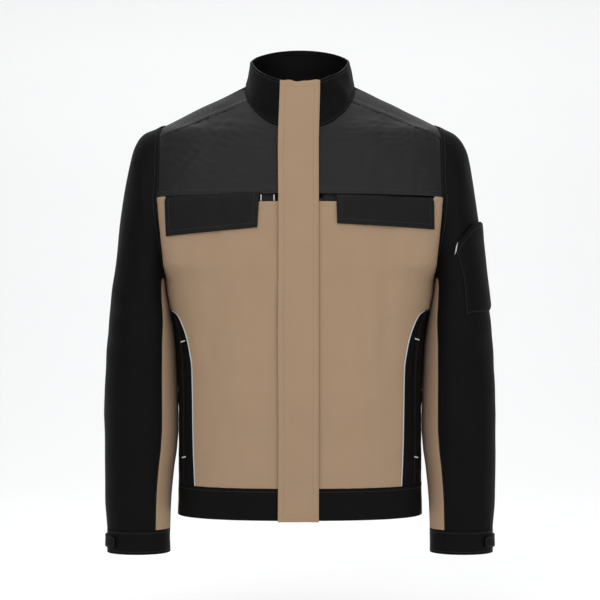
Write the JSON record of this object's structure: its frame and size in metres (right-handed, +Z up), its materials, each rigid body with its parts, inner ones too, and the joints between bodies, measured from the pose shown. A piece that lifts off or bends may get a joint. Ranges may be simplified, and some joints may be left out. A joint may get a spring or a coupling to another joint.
{
  "type": "work jacket",
  "caption": "Waist-length two-tone work jacket with stand collar, storm flap over a zip, chest flaps, side panels and cuffs.",
  "frame": {"origin": "middle of the back neck seam, where the hanger loop is sewn in", "axes": "+Z up along the body, the front faces -Y, the wearer's left is +X"},
  "size_m": [0.6232, 0.2759, 0.8085],
  "materials": {
    "tan_cloth": "matte twill weave, tan",
    "black_cloth": "matte twill weave, black",
    "pocketing": "plain weave pocket cloth, black",
    "reflective": "silver grey reflective braid",
    "thread": "pale grey sewing thread",
    "label": "blank woven label",
    "zip_teeth": "moulded black teeth",
    "zip_tape": "woven black tape",
    "zip_metal": "dark plated metal",
    "hook_and_loop": "black hook and loop tape"
  },
  "bodies": {
    "torso": {"back_panel": "tan_cloth", "back_waistband": "black_cloth", "back_yoke": "black_cloth", "collar_inner": "black_cloth", "collar_outer": "black_cloth", "hanger_loop": "zip_tape", "left_bartack_foot": "thread", "left_bartack_top": "thread", "left_chest_pocket": "pocketing", "left_chest_yoke": "black_cloth", "left_flap_loop": "hook_and_loop", "left_front_panel": "tan_cloth", "left_hand_pocket": "pocketing", "left_hip_panel": "black_cloth", "left_piping": "reflective", "left_pocket_facing": "black_cloth", "left_waistband": "black_cloth", "neck_label": "label", "reflective_tab_inner": "reflective", "reflective_tab_outer": "reflective", "right_bartack_foot": "thread", "right_bartack_top": "thread", "right_chest_pocket": "pocketing", "right_chest_yoke": "black_cloth", "right_flap_loop": "hook_and_loop", "right_front_panel": "tan_cloth", "right_hand_pocket": "pocketing", "right_hip_panel": "black_cloth", "right_piping": "reflective", "right_pocket_facing": "black_cloth", "right_waistband": "black_cloth", "storm_loop_strip": "hook_and_loop", "zip_box": "zip_metal", "zip_guard": "black_cloth", "zip_tape_left": "zip_tape", "zip_tape_right": "zip_tape", "zip_teeth_left": "zip_teeth", "zip_teeth_right": "zip_teeth", "zip_top_stop_left": "zip_metal", "zip_top_stop_right": "zip_metal"},
    "left_chest_flap": {"left_chest_flap": "black_cloth"},
    "left_sleeve": {"left_cuff": "black_cloth", "left_sleeve_outer": "black_cloth", "left_sleeve_under": "tan_cloth", "left_tab_loop": "hook_and_loop", "sleeve_pocket": "black_cloth", "sleeve_pocket_tab": "reflective"},
    "left_cuff_tab": {"left_cuff_tab": "black_cloth"},
    "right_chest_flap": {"right_chest_flap": "black_cloth"},
    "right_sleeve": {"right_cuff": "black_cloth", "right_sleeve_outer": "black_cloth", "right_sleeve_under": "tan_cloth", "right_tab_loop": "hook_and_loop"},
    "right_cuff_tab": {"right_cuff_tab": "black_cloth"},
    "storm_flap": {"storm_flap": "tan_cloth", "storm_hook_strip": "hook_and_loop"},
    "zip_pull": {"zip_pull": "zip_metal"},
    "zip_slider": {"zip_slider": "zip_metal"}
  },
  "joints": [
    {"name": "left_sleeve_lift", "type": "hinge", "parent": "torso", "child": "left_sleeve", "pos_m": [0.2309, 0, -0.07], "axis": [0, -1, 0], "range_deg": [0, 45]},
    {"name": "right_sleeve_lift", "type": "hinge", "parent": "torso", "child": "right_sleeve", "pos_m": [-0.2309, 0, -0.07], "axis": [0, 1, 0], "range_deg": [0, 45]},
    {"name": "left_cuff_tab_open", "type": "hinge", "parent": "left_sleeve", "child": "left_cuff_tab", "pos_m": [0.27722, 0.02998, -0.726], "axis": [0, 0, 1], "range_deg": [0, 75]},
    {"name": "right_cuff_tab_open", "type": "hinge", "parent": "right_sleeve", "child": "right_cuff_tab", "pos_m": [-0.27722, 0.02998, -0.726], "axis": [0, 0, -1], "range_deg": [0, 75]},
    {"name": "storm_flap_open", "type": "hinge", "parent": "torso", "child": "storm_flap", "pos_m": [0.029, -0.13718, -0.36], "axis": [0, 0.0273, 0.9996], "range_deg": [0, 70]},
    {"name": "left_chest_flap_lift", "type": "hinge", "parent": "torso", "child": "left_chest_flap", "pos_m": [0.13303, -0.11788, -0.18395], "axis": [-0.9863, -0.161, 0.0369], "range_deg": [0, 130]},
    {"name": "right_chest_flap_lift", "type": "hinge", "parent": "torso", "child": "right_chest_flap", "pos_m": [-0.13777, -0.11694, -0.18099], "axis": [-0.984, 0.1702, -0.0518], "range_deg": [0, 130]},
    {"name": "zip_run", "type": "hinge", "parent": "torso", "child": "zip_slider", "pos_m": [0, 2.067, -0.42], "axis": [1, 0, 0], "range_deg": [0, 16.4]},
    {"name": "zip_pull_swing", "type": "hinge", "parent": "zip_slider", "child": "zip_pull", "pos_m": [0, -0.0964, -0.02934], "axis": [-1, 0, 0], "range_deg": [0, 8]}
  ]
}
